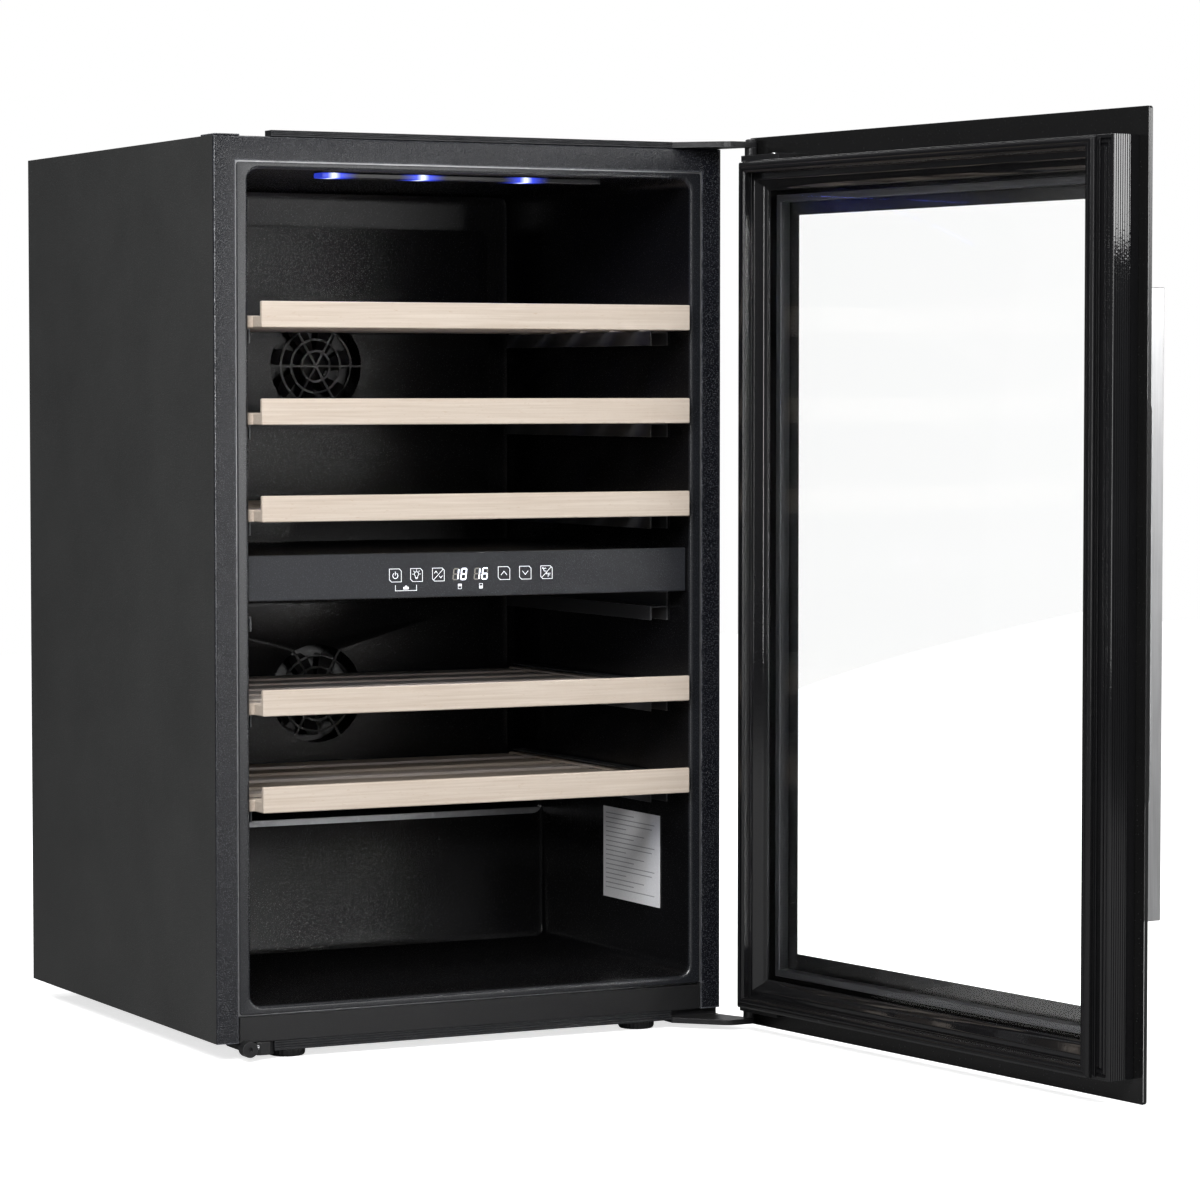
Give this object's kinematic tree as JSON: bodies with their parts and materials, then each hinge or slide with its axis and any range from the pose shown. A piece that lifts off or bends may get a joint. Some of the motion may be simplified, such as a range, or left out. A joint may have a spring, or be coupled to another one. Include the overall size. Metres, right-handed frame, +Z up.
{
  "type": "wine cooler",
  "caption": "Built-in two-zone wine cooler with an open framed glass door, bar handle, sliding wooden shelves and a middle control panel.",
  "frame": {"origin": "middle of the footprint on the floor, with the door standing open 97 degrees", "axes": "+Z up; -Y is the front, which the cabinet opens to; +X is the hinge side"},
  "size_m": [0.68, 1.1272, 0.8885],
  "materials": {
    "shell_paint": "matte",
    "liner_plastic": "satin",
    "insulation": "matte",
    "zinc_sheet": "satin",
    "dark_plastic": "matte",
    "trim_metal": "satin",
    "hinge_steel": "satin",
    "bright_steel": "polished",
    "foot_plastic": "satin",
    "compressor_paint": "satin",
    "condenser_paint": "satin",
    "display_black": "gloss",
    "white_lens": "satin",
    "white_label": "satin",
    "beech": "matte",
    "guide_steel": "satin",
    "clear_glass": "gloss",
    "black_enamel": "gloss",
    "frame_profile": "satin",
    "gasket_rubber": "matte",
    "spacer_metal": "satin",
    "brushed_steel": "satin"
  },
  "bodies": {
    "cabinet": {"outer_shell": "shell_paint", "inner_liner": "liner_plastic", "evaporator_cover_upper": "liner_plastic", "evaporator_cover_lower": "liner_plastic", "foam_insulation": "insulation", "zone_divider": "insulation", "back_panel": "zinc_sheet", "base_pan": "zinc_sheet", "kick_panel": "dark_plastic", "mounting_bracket": "dark_plastic", "evaporation_tray": "dark_plastic", "power_inlet": "dark_plastic", "control_panel": "dark_plastic", "trim_bar_top": "trim_metal", "trim_bar_bottom": "trim_metal", "hinge_plate_top": "hinge_steel", "hinge_plate_bottom": "hinge_steel", "mounting_bolt": "hinge_steel", "hinge_pin_top": "bright_steel", "compressor": "compressor_paint", "condenser_tube": "condenser_paint", "display_module": "display_black", "light_lens_upper": "white_lens", "light_lens_lower": "white_lens", "data_label": "white_label", "shelf_guide_left_1": "guide_steel", "shelf_guide_right_1": "guide_steel", "shelf_guide_left_2": "guide_steel", "shelf_guide_right_2": "guide_steel", "shelf_guide_left_3": "guide_steel", "shelf_guide_right_3": "guide_steel", "shelf_guide_left_4": "guide_steel", "shelf_guide_right_4": "guide_steel", "shelf_guide_left_5": "guide_steel", "shelf_guide_right_5": "guide_steel"},
    "door": {"door_bracket_top": "hinge_steel", "door_bracket_bottom": "hinge_steel", "door_outer_glass": "clear_glass", "door_inner_glass": "clear_glass", "door_enamel_border": "black_enamel", "door_frame": "frame_profile", "door_gasket": "gasket_rubber", "door_glass_spacer": "spacer_metal", "door_handle": "brushed_steel"},
    "shelf_1": {"shelf_front_1": "beech", "shelf_rack_1": "beech"},
    "shelf_2": {"shelf_front_2": "beech", "shelf_rack_2": "beech"},
    "shelf_3": {"shelf_front_3": "beech", "shelf_rack_3": "beech"},
    "shelf_4": {"shelf_front_4": "beech", "shelf_rack_4": "beech"},
    "shelf_5": {"shelf_front_5": "beech", "shelf_rack_5": "beech"},
    "fan_upper": {"fan_upper": "foot_plastic"},
    "fan_lower": {"fan_lower": "foot_plastic"},
    "foot_front_left": {"foot_front_left": "foot_plastic"},
    "foot_front_right": {"foot_front_right": "foot_plastic"},
    "foot_rear_left": {"foot_rear_left": "foot_plastic"},
    "foot_rear_right": {"foot_rear_right": "foot_plastic"}
  },
  "joints": [
    {"name": "door_hinge", "type": "hinge", "parent": "cabinet", "child": "door", "pos_m": [0.21794, 0.01312, 0.446], "axis": [0, 0, 1], "range_deg": [-97, 13]},
    {"name": "shelf_1_slide", "type": "slide", "parent": "cabinet", "child": "shelf_1", "axis": [0, -1, 0], "range_m": [0, 0.28]},
    {"name": "shelf_2_slide", "type": "slide", "parent": "cabinet", "child": "shelf_2", "axis": [0, -1, 0], "range_m": [0, 0.28]},
    {"name": "shelf_3_slide", "type": "slide", "parent": "cabinet", "child": "shelf_3", "axis": [0, -1, 0], "range_m": [0, 0.28]},
    {"name": "shelf_4_slide", "type": "slide", "parent": "cabinet", "child": "shelf_4", "axis": [0, -1, 0], "range_m": [0, 0.28]},
    {"name": "shelf_5_slide", "type": "slide", "parent": "cabinet", "child": "shelf_5", "axis": [0, -1, 0], "range_m": [0, 0.28]},
    {"name": "fan_upper_spin", "type": "hinge", "parent": "cabinet", "child": "fan_upper", "pos_m": [-0.06806, 0.45022, 0.6635], "axis": [0, 1, 0], "continuous": true},
    {"name": "fan_lower_spin", "type": "hinge", "parent": "cabinet", "child": "fan_lower", "pos_m": [-0.06806, 0.45022, 0.3185], "axis": [0, 1, 0], "continuous": true},
    {"name": "foot_front_left_turn", "type": "hinge", "parent": "cabinet", "child": "foot_front_left", "pos_m": [-0.25806, 0.07462, 0], "axis": [0, 0, 1], "continuous": true},
    {"name": "foot_front_right_turn", "type": "hinge", "parent": "cabinet", "child": "foot_front_right", "pos_m": [0.12194, 0.07462, 0], "axis": [0, 0, 1], "continuous": true},
    {"name": "foot_rear_left_turn", "type": "hinge", "parent": "cabinet", "child": "foot_rear_left", "pos_m": [-0.25806, 0.52362, 0], "axis": [0, 0, 1], "continuous": true},
    {"name": "foot_rear_right_turn", "type": "hinge", "parent": "cabinet", "child": "foot_rear_right", "pos_m": [0.12194, 0.52362, 0], "axis": [0, 0, 1], "continuous": true}
  ]
}
